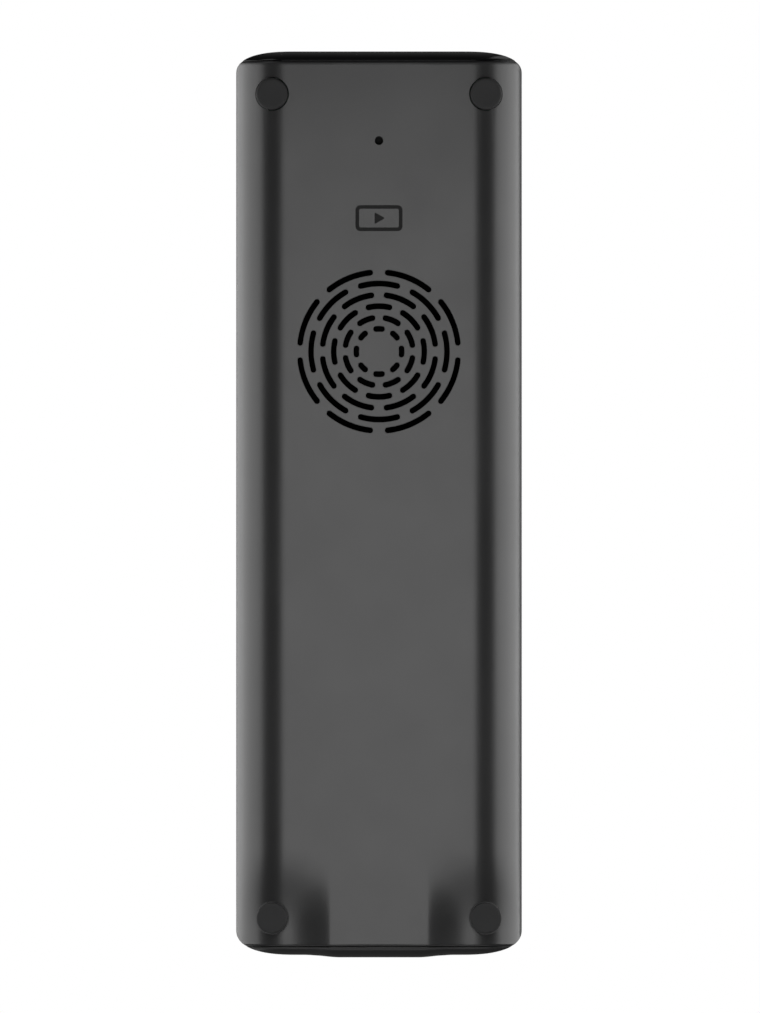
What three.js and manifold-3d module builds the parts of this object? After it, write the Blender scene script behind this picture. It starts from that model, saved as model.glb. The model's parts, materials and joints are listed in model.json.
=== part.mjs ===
// A slim streaming media player: two half shells with a cap at each end, four plug feet over the
// case screws, a cooling fan over the ring vent in the underside, and a single board with its
// sockets at the rear. Millimetres, +Z up. The origin is on the surface that the feet stand on,
// under the middle of the player. -Y is the front, with the infrared window, and +Y the rear.

import * as THREE from "three";
import { mergeVertices } from "three/addons/utils/BufferGeometryUtils.js";
import Module from "manifold-3d";

const wasm = await Module();
wasm.setup();

// ---- Driving dimensions -------------------------------------------------------------------

const BODY_LENGTH = 150.1;
const BODY_WIDTH = 47.5;
const BODY_DEPTH = 18;
const WALL = 1.6;
const FOOT_STAND = 0.9; // how far the feet lift the underside
const REAR_LIP = 0.4; // how far the socket land stands out of the rear end

const FRONT_Y = -(BODY_LENGTH + REAR_LIP) / 2;
const REAR_Y = FRONT_Y + BODY_LENGTH;
const MID_Z = FOOT_STAND + BODY_DEPTH / 2;
const FLOOR_Z = FOOT_STAND + WALL; // inner face of the bottom wall
const CEILING_Z = FOOT_STAND + BODY_DEPTH - WALL;
const TOP_Z = FOOT_STAND + BODY_DEPTH;

// Cross-section: a flat band, then one elliptical curve from the flat to the widest line.
const FLAT_HALF = 15.3;
const CURVE_STEPS = 6;
const SPLIT_ANGLE = Math.PI / 15; // above the middle plane, from where the sides are one facet

// Ends: the corners in plan, and the edge that rolls from the flat into the end face.
const CORNER_ACROSS = 10.2;
const CORNER_ALONG = 3.9;
const CORNER_POWER = 2.45; // 2 would be an ellipse, and more is squarer
const ROLL_ALONG = 1.7;
const ROLL_DEPTH = 5.0;
const ROLL_NARROWING = 3.7;

// Rear underside: a land over the middle socket, with a scoop on each side of it.
const LAND_HALF = 8.0;
const SCOOP_LENGTH = 18;
const SCOOP_FULL = 4; // the scoop has its whole depth this far from the rear end
const SCOOP_DEPTH = 1.3;
const SCOOP_SKEW = 0.75; // below 1, the scoop's steepest line moves towards the land
const LIP_HALF = 6.5;
const LIP_RAMP = 5.3; // from the land's lip back to the plain end face

// Seams.
const FRONT_CAP = 1.6;
const REAR_CAP = 1.4;
const SEAM_GAP = 0.3;
const LIP_THICK = 0.6; // the bottom shell's tongue, which stands up inside the top shell
const LIP_RISE = 1.0;
const SKIRT_DEEP = 1.2;
const SKIRT_THICK = 1.0;
const FRONT_SEAM_Y = FRONT_Y + FRONT_CAP;
const REAR_SEAM_Y = REAR_Y - REAR_CAP;

// Ring vent in the underside, over the fan.
const VENT_Y = -25.37;
const SLOT_WIDTH = 0.9;
const SLOTS_PER_RING = 8;
const VENT_PITCH = 1.88; // from ring to ring, and the first ring is two pitches out
// For each ring, the half angle from the middle of a slot to the centre of its round end, degrees.
const SLOT_HALVES = [7.6, 11.6, 13.4, 14.9, 15.6, 16.2];

// Exhaust slots in the rounded sides of the top shell.
const EXHAUST = { count: 12, pitch: 2.9, first: -9, width: 1.1, low: 12.4, high: 15.6, reach: 10 };

// Feet, and the screws under them.
const FOOT = { radius: 2.6, chamfer: 0.4, x: 17.75, front: -68.1, rear: 68.65, top: 3.3 };
const FOOT_POCKET = 2.8;
const SCREW = { shank: 1.0, head: 1.9, headHigh: 1.3, bevel: 0.5, seat: 5.6, length: 8 };
const SCREW_TIP = { radius: 0.4, taper: 1 };
const SCREW_CROSS = { long: 2.2, wide: 0.5, deep: 0.7 };
const BOSS = { low: 4.0, high: 2.5, clear: 1.3 };

// Controls.
const RESET_Y = -60.36;
const PINHOLE = 0.67;
const GUIDE = { radius: 1.9, top: 3.4 };
const POWER_Y = -54;
const BUTTON = { radius: 4.2, hole: 4.5, flange: 5.2, flangeHigh: 0.85, stem: 1.6, play: 0.1 };
const BUTTON_FACE = { edge: 0.25, rim: 0.9, dish: 0.3 };

// Main board.
const BOARD = { half: 20.4, front: -71, rear: 71, low: 6.4, thick: 1.2, corner: 3 };
const BOARD_TOP = BOARD.low + BOARD.thick;
const FAN_WINDOW = 31;

// Fan: a 30 mm frame, 7 mm thick.
const FAN = { size: 30, high: 7, lift: 0.3, bore: 14.2, holes: 12, hole: 1.4 };
const FAN_POST = { radius: 1.05, shoulder: 2.2, over: 0.6 };
const FAN_LOW = FLOOR_Z + FAN.lift;
const FAN_TOP = FAN_LOW + FAN.high;
const ROTOR = { hub: 6.5, hubInner: 5.9, tip: 13.7, blades: 7, low: FAN_LOW + 0.4 };
const CUP = { high: 4.9, web: 0.9, bevel: 0.6, bore: 0.95 };
const BLADE = { chord: 3.4, widening: 0.42, lean: 56, untwist: 2.2, mid: 2.6 };
const BLADE_SECTION = { camber: 0.9, thick: 0.28, taper: 0.3 };
const STATOR = { inner: 2.5, outer: 4.6, low: FAN_LOW + 2.6, high: FAN_LOW + 5.0 };
const MAGNET = { inner: 4.95, outer: 5.7, low: ROTOR.low + 1.0, high: ROTOR.low + 4.6 };
const SHAFT = { radius: 0.75, low: ROTOR.low + 0.1, clear: 0.2 };
const BEARING = { inner: 0.84, outer: 1.6 };
const SLEEVE = { inner: 1.72, outer: 2.35, low: FAN_LOW + 2.0 };
const MOTOR_BASE = { radius: 6.6, high: 1.2 };
const STRUT = { count: 3, width: 1.3, from: 4, short: 3.5, turn: 0.5 };
const FAN_PLUG = { width: 4.5, depth: 3.6, high: 3, x: -18, y: -1 };
const FAN_LEAD = 0.45;

// Sockets at the rear. The middle one is for video, and a round jack stands on each side of it.
const VIDEO = { width: 15, high: 5.6, wall: 0.35, chamfer: 1.4, front: 63.2, back: 4, mouth: 75 };
const VIDEO_MID = BOARD_TOP + VIDEO.high / 2;
const VIDEO_BLADE = { width: 11.6, high: 1.0, corner: 0.3 };
const JACK = { x: 10.75, width: 5.2, high: 4.8, back: 62, step: 72, mouth: 74.2, snout: 2.2, wall: 1.2 };
const JACK_Z = BOARD_TOP + JACK.high / 2;
const POWER_BORE = 1.8;
const POWER_PIN = 0.65;
const AUDIO_BORE = 1.78;

// Push switches. reach is the height of the plunger's tip over the board, and the plunger stands
// in a well in the body, with room under it for the stroke.
const SWITCH = { size: 6, well: 1.95, wellDepth: 1.1, plunger: 1.65, room: 0.5 };
const POWER_SWITCH = { high: 3.1, reach: 6.5 };
const RESET_SWITCH = { high: 2.0, reach: 2.5 };

// Processor, with its heat sink held down by two sprung pins.
const SOC = { y: 8, size: 14, high: 1.0 };
const PAD_HIGH = 0.5;
const SINK = { width: 26, length: 30, base: 1.2, high: 6.4, fins: 9, fin: 0.9 };
const SINK_LOW = BOARD_TOP + SOC.high + PAD_HIGH;
const PIN = { shank: 0.9, hole: 1.25, head: 2.0, headHigh: 0.7, below: 1.6, well: 2.75 };
const PIN_BARB = { radius: 1.1, under: 0.3, tip: 0.5 };
const PIN_HEAD_LOW = SINK_LOW + 5.2;
const PINS = [-1, 1].map((side) => ({ x: side * 10.8, y: SOC.y - side * 12.6 }));
const SPRING = { wire: 0.2, radius: 1.6, turns: 4, clear: 0.3 };

// The rest of the board.
const CAN = { radius: 2.5, groove: 2.3, grooveLow: 0.8, grooveHigh: 1.4, shoulder: 5.2, high: 5.4 };
const IR = { width: 5.4, depth: 3.0, high: 4.6, lens: 1.6, lensOut: 1.3, lensHigh: 2.5 };
const RADIO = { width: 12, depth: 14, high: 1.8, x: -8, y: 46.5 };
const AERIAL = { width: 6, length: 22, thick: 0.25, x: 11, y: 34, drop: 0.3, lead: 0.35 };

const WELD = 1e-4;
const SIDES = 20;
const PAST = 5; // how far a cutter runs past what it cuts
const SUNK = 0.5; // how far a joined piece is sunk into its neighbour

// ---- Solids and geometry ------------------------------------------------------------------

// A closed geometry as a solid that can be joined and cut.
function solid(geometry) {
  const bare = geometry.index ? geometry.toNonIndexed() : geometry.clone();
  for (const name of Object.keys(bare.attributes)) {
    if (name !== "position") bare.deleteAttribute(name);
  }
  const merged = mergeVertices(bare, WELD);
  const corners = merged.index.array;
  const kept = [];
  for (let i = 0; i < corners.length; i += 3) {
    const [a, b, c] = [corners[i], corners[i + 1], corners[i + 2]];
    if (a !== b && b !== c && c !== a) kept.push(a, b, c);
  }
  const made = new wasm.Manifold(
    new wasm.Mesh({
      numProp: 3,
      vertProperties: merged.attributes.position.array,
      triVerts: new Uint32Array(kept),
    }),
  );
  if (made.volume() <= 0) throw new Error("a solid is inside out");
  return made;
}

function geometryOf(piece) {
  const mesh = piece.getMesh();
  const geometry = new THREE.BufferGeometry();
  geometry.setAttribute("position", new THREE.BufferAttribute(mesh.vertProperties, 3));
  geometry.setIndex(new THREE.BufferAttribute(mesh.triVerts, 1));
  geometry.computeVertexNormals();
  return geometry;
}

const join = (pieces) => pieces.reduce((all, piece) => all.add(piece));
const cut = (body, pieces) => pieces.reduce((all, piece) => all.subtract(piece), body);

// A box centred on x and y, standing on the height base.
function box(width, depth, height, x, y, base) {
  return new THREE.BoxGeometry(width, depth, height).translate(x, y, base + height / 2);
}

// An upright cylinder from low to high.
function rod(radius, low, high, x = 0, y = 0, sides = SIDES) {
  const made = new THREE.CylinderGeometry(radius, radius, high - low, sides);
  return made.rotateX(Math.PI / 2).translate(x, y, (low + high) / 2);
}

// A cylinder along Y from one y to another.
function rodAlongY(radius, from, to, x, z, sides = SIDES) {
  const made = new THREE.CylinderGeometry(radius, radius, to - from, sides);
  return made.translate(x, (from + to) / 2, z);
}

// A profile of [radius, height] pairs turned round Z. It runs anticlockwise, with the radius to
// the right and the height up, and closes on itself or starts and ends on the axis.
function turned(profile, sides = SIDES) {
  const points = profile.map(([radius, height]) => new THREE.Vector2(radius, height));
  return new THREE.LatheGeometry(points, sides).rotateX(Math.PI / 2);
}

function ring(inner, outer, low, high, sides = SIDES) {
  return turned([[inner, low], [outer, low], [outer, high], [inner, high], [inner, low]], sides);
}

function plate(shape, low, high, curveSegments = 6) {
  const made = new THREE.ExtrudeGeometry(shape, { depth: high - low, bevelEnabled: false, curveSegments });
  return made.translate(0, 0, low);
}

function roundedRectangle(width, depth, radius, x = 0, y = 0) {
  const [w, d] = [width / 2, depth / 2];
  const shape = new THREE.Shape();
  shape.absarc(x + w - radius, y + d - radius, radius, 0, Math.PI / 2);
  shape.absarc(x - w + radius, y + d - radius, radius, Math.PI / 2, Math.PI);
  shape.absarc(x - w + radius, y - d + radius, radius, Math.PI, 1.5 * Math.PI);
  shape.absarc(x + w - radius, y - d + radius, radius, 1.5 * Math.PI, 2 * Math.PI);
  return shape;
}

function roundShape(radius, x = 0, y = 0) {
  const shape = new THREE.Shape();
  shape.absarc(x, y, radius, 0, 2 * Math.PI);
  return shape;
}

// A round tube along a smooth curve through the points.
function tube(points, radius, steps, sides = 8) {
  const path = new THREE.CatmullRomCurve3(points.map((p) => new THREE.Vector3(...p)));
  const section = roundShape(radius);
  return new THREE.ExtrudeGeometry(section, { extrudePath: path, steps, curveSegments: sides });
}

// Faces are [a, b, c] triples of points. The result faces out whichever way they were wound.
function geometryFromFaces(faces) {
  const volume = faces.reduce((sum, [a, b, c]) => sum + a.dot(b.clone().cross(c)), 0);
  const wound = volume > 0 ? faces : faces.map(([a, b, c]) => [a, c, b]);
  const numbers = wound.flatMap((face) => face.flatMap((p) => [p.x, p.y, p.z]));
  const geometry = new THREE.BufferGeometry();
  return geometry.setAttribute("position", new THREE.Float32BufferAttribute(numbers, 3));
}

function quad(a, b, c, d) {
  return [[a, b, c], [a, c, d]];
}

// A solid through stations. Each station has a lower and an upper row of points, of one length,
// whose ends meet or lie above each other.
function loft(stations) {
  const faces = [];
  const last = stations[0].lower.length - 1;
  stations.slice(1).forEach((next, s) => {
    const here = stations[s];
    for (let i = 0; i < last; i++) {
      faces.push(...quad(here.lower[i], here.lower[i + 1], next.lower[i + 1], next.lower[i]));
      faces.push(...quad(here.upper[i + 1], here.upper[i], next.upper[i], next.upper[i + 1]));
    }
    faces.push(...quad(here.upper[0], here.lower[0], next.lower[0], next.upper[0]));
    faces.push(...quad(here.lower[last], here.upper[last], next.upper[last], next.lower[last]));
  });
  const [first, end] = [stations[0], stations[stations.length - 1]];
  for (let i = 0; i < last; i++) {
    faces.push(...quad(first.upper[i], first.upper[i + 1], first.lower[i + 1], first.lower[i]));
    faces.push(...quad(end.lower[i], end.lower[i + 1], end.upper[i + 1], end.upper[i]));
  }
  return geometryFromFaces(faces);
}

// ---- Shape of the case --------------------------------------------------------------------

// 0 inside a quarter ellipse's reach from an end, rising to 1 at the end.
function endShare(distance, reach, power = 2) {
  if (distance >= reach) return 0;
  return 1 - (1 - (1 - distance / reach) ** power) ** (1 / power);
}

function smoothStep(share) {
  const s = Math.min(1, Math.max(0, share));
  return s * s * (3 - 2 * s);
}

// Half sizes of the cross-section at y, and the half width where the plan's rounded corner cuts
// it off, for a surface that lies inset inside the outer one.
function sectionAt(y, inset) {
  const distance = Math.max(0, y < 0 ? y - FRONT_Y : REAR_Y - y);
  const roll = endShare(distance, ROLL_ALONG);
  const corner = endShare(distance, CORNER_ALONG, CORNER_POWER);
  return {
    cutHalf: BODY_WIDTH / 2 - CORNER_ACROSS * corner - inset,
    halfWidth: BODY_WIDTH / 2 - inset,
    halfDepth: BODY_DEPTH / 2 - ROLL_DEPTH * roll - inset,
    flatHalf: FLAT_HALF - ROLL_NARROWING * roll,
  };
}

// How far the underside is scooped up beside the land at the rear.
function scoop(x, y) {
  const along = smoothStep((SCOOP_LENGTH - (REAR_Y - y)) / (SCOOP_LENGTH - SCOOP_FULL));
  const across = Math.min(1, Math.max(0, (Math.abs(x) - LAND_HALF) / (FLAT_HALF - LAND_HALF)));
  return SCOOP_DEPTH * along * smoothStep(across ** SCOOP_SKEW);
}

const FLAT_PLACES = [LAND_HALF, 9.4, 10.7, 12.2, 13.7].map((place) => place / FLAT_HALF);

// The x and z of points along one half of the cross-section, from -X to +X. side is -1 for the
// lower half and 1 for the upper.
function halfSection(y, inset, side) {
  const { cutHalf, halfWidth, halfDepth, flatHalf } = sectionAt(y, inset);
  const bulge = halfWidth - flatHalf;
  const split = Math.max(SPLIT_ANGLE, Math.acos(Math.min(1, (cutHalf - flatHalf) / bulge)));
  const angles = Array.from({ length: CURVE_STEPS }, (_, i) => {
    return Math.PI / 2 + ((split - Math.PI / 2) * i) / (CURVE_STEPS - 1);
  });
  const right = [
    ...FLAT_PLACES.map((place) => [place * flatHalf, halfDepth]),
    ...angles.map((angle) => [flatHalf + bulge * Math.cos(angle), halfDepth * Math.sin(angle)]),
    [Math.min(cutHalf, halfWidth), 0],
  ];
  const left = right.map(([x, z]) => [-x, z]).reverse();
  return [...left, ...right].map(([x, z]) => {
    const thinned = side < 0 ? (z * (BODY_DEPTH / 2 - scoop(x, y))) / (BODY_DEPTH / 2) : z;
    return [x, MID_Z + side * thinned];
  });
}

const CASE_STATIONS = [
  FRONT_SEAM_Y,
  FRONT_Y + ROLL_ALONG,
  FRONT_Y + 0.75 * CORNER_ALONG,
  FRONT_Y + CORNER_ALONG,
  ...[0, 0.25, 0.5, 0.75].map((share) => REAR_Y - SCOOP_LENGTH + share * (SCOOP_LENGTH - SCOOP_FULL)),
  REAR_Y - SCOOP_FULL,
  REAR_Y - 0.75 * CORNER_ALONG,
  REAR_Y - ROLL_ALONG,
  REAR_SEAM_Y,
];

// Stretches the stations so that a cutter runs past both seams.
function stationsPast(over) {
  const last = CASE_STATIONS.length - 1;
  return CASE_STATIONS.map((y, i) => ({ section: y, at: i === 0 ? y - over : i === last ? y + over : y }));
}

// A solid of the case's section between two heights, from seam to seam, with over past each.
function caseSolid(inset, low, high, over = 0) {
  const stations = stationsPast(over).map(({ section, at }) => {
    const row = (side) => halfSection(section, inset, side);
    const clamp = (z) => Math.min(high, Math.max(low, z));
    const points = (side) => row(side).map(([x, z]) => new THREE.Vector3(x, at, clamp(z)));
    return { lower: points(-1), upper: points(1) };
  });
  return solid(loft(stations));
}

// ---- Case parts ---------------------------------------------------------------------------

const FEET = [
  { name: "front_left", x: -FOOT.x, y: FOOT.front },
  { name: "front_right", x: FOOT.x, y: FOOT.front },
  { name: "rear_left", x: -FOOT.x, y: FOOT.rear },
  { name: "rear_right", x: FOOT.x, y: FOOT.rear },
];

// A slot bent round the vent's centre, with round ends, seen from above.
function arcSlot(radius, half, middle) {
  const [from, to] = [middle - half, middle + half].map(THREE.MathUtils.degToRad);
  const [inner, outer] = [radius - SLOT_WIDTH / 2, radius + SLOT_WIDTH / 2];
  const end = (angle) => [radius * Math.cos(angle), radius * Math.sin(angle)];
  const shape = new THREE.Shape();
  shape.absarc(0, 0, outer, from, to);
  shape.absarc(...end(to), SLOT_WIDTH / 2, to, to + Math.PI);
  shape.absarc(0, 0, inner, to, from, true);
  shape.absarc(...end(from), SLOT_WIDTH / 2, from + Math.PI, from + 2 * Math.PI);
  return shape;
}

// Alternate rings are turned by half a slot, so that the gaps never line up.
function ventSlots() {
  const pitch = 360 / SLOTS_PER_RING;
  return SLOT_HALVES.flatMap((half, r) =>
    Array.from({ length: SLOTS_PER_RING }, (_, i) => {
      const middle = 90 + (i + (r % 2 ? 0.5 : 0)) * pitch;
      const slot = arcSlot((r + 2) * VENT_PITCH, half, middle);
      return solid(plate(slot, 0, FLOOR_Z + 1, 2).translate(0, VENT_Y, 0));
    }),
  );
}

// Posts that stand up through the fan's corner holes, each with a shoulder that the fan sits on.
function fanPosts() {
  const { radius, shoulder, over } = FAN_POST;
  const corners = [-1, 1].flatMap((sx) => [-1, 1].map((sy) => [sx * FAN.holes, VENT_Y + sy * FAN.holes]));
  return corners.flatMap(([x, y]) => [
    solid(rod(radius, FLOOR_Z - SUNK, FAN_TOP + over, x, y, 12)),
    solid(rod(shoulder, FLOOR_Z - SUNK, FAN_LOW, x, y, 12)),
  ]);
}

function bottomShell() {
  const seam = MID_Z - SEAM_GAP / 2;
  const outer = caseSolid(0, 0, seam);
  const hollow = caseSolid(WALL, 0, TOP_Z, PAST);
  const outside = caseSolid(0, 0, TOP_Z);
  const tongue = caseSolid(WALL - LIP_THICK, seam - 1, seam + LIP_RISE).subtract(hollow);
  const bosses = FEET.map(({ x, y }) => solid(rod(BOSS.low, FOOT_STAND, BOARD.low, x, y)).intersect(outside));
  const guide = solid(rod(GUIDE.radius, FLOOR_Z - SUNK, GUIDE.top, 0, RESET_Y, 16));
  const body = join([outer.subtract(hollow), tongue, ...bosses, ...fanPosts(), guide]);
  const pockets = FEET.flatMap(({ x, y }) => [
    solid(rod(FOOT_POCKET, -PAST, FOOT.top, x, y)),
    solid(rod(SCREW.head + SEAM_GAP, FOOT.top - SUNK, SCREW.seat, x, y)),
    solid(rod(BOSS.clear, SCREW.seat - SUNK, BOARD.low + PAST, x, y, 16)),
  ]);
  const pinhole = solid(rod(PINHOLE, -PAST, GUIDE.top + 1, 0, RESET_Y, 16));
  return cut(body, [...pockets, pinhole, join(ventSlots())]);
}

// One slot through the rounded side of the top shell, on the side given by the sign of side.
function exhaustSlot(side, y) {
  const { width, low, high } = EXHAUST;
  const shape = new THREE.Shape();
  shape.absarc(0, high - width / 2, width / 2, 0, Math.PI);
  shape.absarc(0, low + width / 2, width / 2, Math.PI, 2 * Math.PI);
  const made = plate(shape, 0, EXHAUST.reach, 2);
  made.rotateX(Math.PI / 2).rotateZ(Math.PI / 2);
  return solid(made.translate(side > 0 ? FLAT_HALF : -FLAT_HALF - EXHAUST.reach, y, 0));
}

function topShell() {
  const seam = MID_Z + SEAM_GAP / 2;
  const outer = caseSolid(0, seam, TOP_Z);
  const hollow = caseSolid(WALL, 0, CEILING_Z, PAST);
  const rebate = caseSolid(WALL - LIP_THICK - SEAM_GAP, 0, seam + LIP_RISE + 0.1, PAST);
  const outside = caseSolid(SUNK, 0, TOP_Z);
  const bosses = FEET.map(({ x, y }) => solid(rod(BOSS.high, BOARD_TOP, TOP_Z, x, y)).intersect(outside));
  const body = join([cut(outer, [hollow, rebate]), ...bosses]);
  const pilotTop = SCREW.seat + SCREW.length + SEAM_GAP;
  const pilots = FEET.map(({ x, y }) => solid(rod(BOSS.clear, BOARD_TOP - 1, pilotTop, x, y, 16)));
  const slots = [-1, 1].flatMap((side) =>
    Array.from({ length: EXHAUST.count }, (_, i) => exhaustSlot(side, EXHAUST.first + i * EXHAUST.pitch)),
  );
  const buttonHole = solid(rod(BUTTON.hole, CEILING_Z - 1, TOP_Z + 1, 0, POWER_Y, 32));
  return cut(body, [...pilots, ...slots, buttonHole]);
}

const CAP_STEPS = 5;

// How much of the lip the rear end face has at x.
const lipShare = (x) => 1 - smoothStep((Math.abs(x) - LIP_HALF) / LIP_RAMP);

// The solid end of the case beyond a seam. side is -1 at the front and 1 at the rear.
function capBody(side) {
  const [deep, lip] = side < 0 ? [FRONT_CAP, 0] : [REAR_CAP, REAR_LIP];
  const endY = side < 0 ? FRONT_Y : REAR_Y;
  const seamY = endY - side * deep;
  const stations = Array.from({ length: CAP_STEPS + 1 }, (_, i) => {
    const y = endY - side * deep * Math.sin((i / CAP_STEPS) * (Math.PI / 2)) ** 2;
    const point = ([x, z]) => new THREE.Vector3(x, y + (lip * lipShare(x) * (y - seamY)) / deep, z);
    return { lower: halfSection(y, 0, -1).map(point), upper: halfSection(y, 0, 1).map(point) };
  });
  return solid(loft(stations));
}

// The arch on a cap that goes up inside the top shell.
function capSkirt(side) {
  const seamY = side < 0 ? FRONT_SEAM_Y : REAR_SEAM_Y;
  const arch = caseSolid(WALL + SEAM_GAP, MID_Z + 2, TOP_Z, PAST);
  const inside = caseSolid(WALL + SEAM_GAP + SKIRT_THICK, 0, TOP_Z, PAST * 2);
  const middle = seamY - (side * SKIRT_DEEP) / 2 + side * 0.1;
  const window = solid(box(BODY_WIDTH, SKIRT_DEEP + 0.2, TOP_Z, 0, middle, 0));
  return arch.subtract(inside).intersect(window);
}

function frontCap() {
  return capBody(-1).add(capSkirt(-1));
}

// ---- Sockets ------------------------------------------------------------------------------

// The outline of the middle socket, seen from behind, shrunk by inset. Its lower corners are cut.
function socketOutline(inset) {
  const [w, low, high] = [VIDEO.width / 2 - inset, BOARD_TOP + inset, BOARD_TOP + VIDEO.high - inset];
  const shape = new THREE.Shape();
  shape.moveTo(-w, high);
  shape.lineTo(-w, low + VIDEO.chamfer);
  shape.lineTo(-w + VIDEO.chamfer, low);
  shape.lineTo(w - VIDEO.chamfer, low);
  shape.lineTo(w, low + VIDEO.chamfer);
  shape.lineTo(w, high);
  return shape;
}

// A plate drawn in x and z, standing between two y.
function uprightPlate(shape, from, to) {
  return plate(shape, 0, to - from).rotateX(Math.PI / 2).translate(0, to, 0);
}

function rearCap() {
  const body = capBody(1).add(capSkirt(1));
  const middle = solid(uprightPlate(socketOutline(-SEAM_GAP), REAR_SEAM_Y - PAST, REAR_Y + PAST));
  const around = JACK.snout + SEAM_GAP;
  const jacks = [-1, 1].map((side) => {
    return solid(rodAlongY(around, REAR_SEAM_Y - PAST, REAR_Y + PAST, side * JACK.x, JACK_Z));
  });
  return cut(body, [middle, ...jacks]);
}

function videoShell() {
  const outer = solid(uprightPlate(socketOutline(0), VIDEO.front, VIDEO.mouth));
  const inner = solid(uprightPlate(socketOutline(VIDEO.wall), VIDEO.front + VIDEO.wall, VIDEO.mouth + 1));
  return outer.subtract(inner);
}

function videoTongue() {
  const { front, back, mouth, wall } = VIDEO;
  const { width, high, corner } = VIDEO_BLADE;
  const gap = wall + 0.1;
  const block = solid(uprightPlate(socketOutline(gap), front + gap, front + back));
  const blade = roundedRectangle(width, high, corner, 0, VIDEO_MID);
  return block.add(solid(uprightPlate(blade, front + back - 1, mouth - 1)));
}

// The body of a round jack, with a bore for the plug and a snout that reaches into the rear cap.
function jackBody(side, bore) {
  const { x, width, high, back, step, mouth, snout, wall } = JACK;
  const block = solid(box(width, step - back, high, side * x, (step + back) / 2, BOARD_TOP));
  const nose = solid(rodAlongY(snout, step - SUNK, mouth, side * x, JACK_Z));
  const hole = solid(rodAlongY(bore, back + wall, mouth + PAST, side * x, JACK_Z));
  return block.add(nose).subtract(hole);
}

// ---- Feet and screws ----------------------------------------------------------------------

function foot() {
  const { radius, chamfer, top } = FOOT;
  return turned([[0, 0], [radius - chamfer, 0], [radius, chamfer], [radius, top], [0, top]], 24);
}

// A pan-head screw, head down, with its shank up. Heights are those of the assembled case.
function caseScrew() {
  const { shank, head, headHigh, bevel, seat, length } = SCREW;
  const { long, wide, deep } = SCREW_CROSS;
  const low = seat - headHigh;
  const tip = seat + length;
  const body = solid(
    turned([
      [0, low],
      [head - bevel, low],
      [head, low + bevel],
      [head, seat],
      [shank, seat],
      [shank, tip - SCREW_TIP.taper],
      [SCREW_TIP.radius, tip],
      [0, tip],
    ], 16),
  );
  const bar = (angle) => solid(box(long, wide, 2 * deep, 0, 0, low - deep).rotateZ(angle));
  return cut(body, [bar(0), bar(Math.PI / 2)]);
}

// ---- Board and what is on it --------------------------------------------------------------

function mainBoard() {
  const { half, front, rear, low, corner } = BOARD;
  const outline = roundedRectangle(2 * half, rear - front, corner, 0, (front + rear) / 2);
  outline.holes.push(roundedRectangle(FAN_WINDOW, FAN_WINDOW, 1, 0, VENT_Y));
  FEET.forEach(({ x, y }) => outline.holes.push(roundShape(BOSS.clear, x, y)));
  PINS.forEach(({ x, y }) => outline.holes.push(roundShape(PIN.hole, x, y)));
  return plate(outline, low, BOARD_TOP, 5);
}

// A push switch's body, with a well for its plunger.
function switchBody(high) {
  const body = solid(box(SWITCH.size, SWITCH.size, high, 0, 0, 0));
  return body.subtract(solid(rod(SWITCH.well, high - SWITCH.wellDepth, high + PAST, 0, 0)));
}

function switchPlunger({ high, reach }) {
  return rod(SWITCH.plunger, high - SWITCH.wellDepth + SWITCH.room, reach);
}

function powerButton() {
  const { radius, flange, flangeHigh, stem, play } = BUTTON;
  const { edge, rim, dish } = BUTTON_FACE;
  const tip = BOARD_TOP + POWER_SWITCH.reach;
  const flangeTop = CEILING_Z - play;
  const face = TOP_Z - play;
  return turned([
    [0, tip],
    [stem, tip],
    [stem, flangeTop - flangeHigh],
    [flange, flangeTop - flangeHigh],
    [flange, flangeTop],
    [radius, flangeTop],
    [radius, face - edge],
    [radius - edge, face],
    [radius - rim, face],
    [0, face - dish],
  ], 28);
}

// Fins run along Y. Two corners are cleared for the pins.
function heatSink() {
  const { width, length, base, high, fins, fin } = SINK;
  const foundation = solid(box(width, length, base, 0, SOC.y, SINK_LOW));
  const pitch = (width - fin) / (fins - 1);
  const rows = Array.from({ length: fins }, (_, i) => {
    const x = (fin - width) / 2 + i * pitch;
    return solid(box(fin, length, high - SUNK, x, SOC.y, SINK_LOW + SUNK));
  });
  const clearings = PINS.flatMap(({ x, y }) => [
    solid(rod(PIN.hole, SINK_LOW - 1, SINK_LOW + high, x, y, 16)),
    solid(rod(PIN.well, SINK_LOW + base, SINK_LOW + high + 1, x, y)),
  ]);
  return cut(join([foundation, ...rows]), clearings);
}

// A push pin: a head over the spring, and a barbed shank through the sink and the board.
function sinkPin() {
  const { shank, head, headHigh, below } = PIN;
  const tip = BOARD.low - below;
  return turned([
    [0, tip],
    [PIN_BARB.tip, tip],
    [PIN_BARB.radius, BOARD.low - PIN_BARB.under],
    [shank, BOARD.low - PIN_BARB.under],
    [shank, PIN_HEAD_LOW],
    [head, PIN_HEAD_LOW],
    [head, PIN_HEAD_LOW + headHigh],
    [0, PIN_HEAD_LOW + headHigh],
  ], 16);
}

class Helix extends THREE.Curve {
  constructor(radius, low, high, turns) {
    super();
    Object.assign(this, { radius, low, high, turns });
  }
  getPoint(share, target = new THREE.Vector3()) {
    const angle = share * this.turns * 2 * Math.PI;
    const z = this.low + share * (this.high - this.low);
    return target.set(this.radius * Math.cos(angle), this.radius * Math.sin(angle), z);
  }
}

function sinkSpring() {
  const { wire, radius, turns, clear } = SPRING;
  const path = new Helix(radius, SINK_LOW + SINK.base + clear, PIN_HEAD_LOW - clear, turns);
  const options = { extrudePath: path, steps: turns * 10, curveSegments: 3 };
  return new THREE.ExtrudeGeometry(roundShape(wire), options);
}

// A can capacitor standing on the board, with its rim grooved near the base.
function capacitor() {
  const { radius, groove, grooveLow, grooveHigh, shoulder, high } = CAN;
  return turned([
    [0, 0],
    [radius, 0],
    [radius, grooveLow],
    [groove, (grooveLow + grooveHigh) / 2],
    [radius, grooveHigh],
    [radius, shoulder],
    [radius + shoulder - high, high],
    [0, high],
  ], 20);
}

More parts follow.
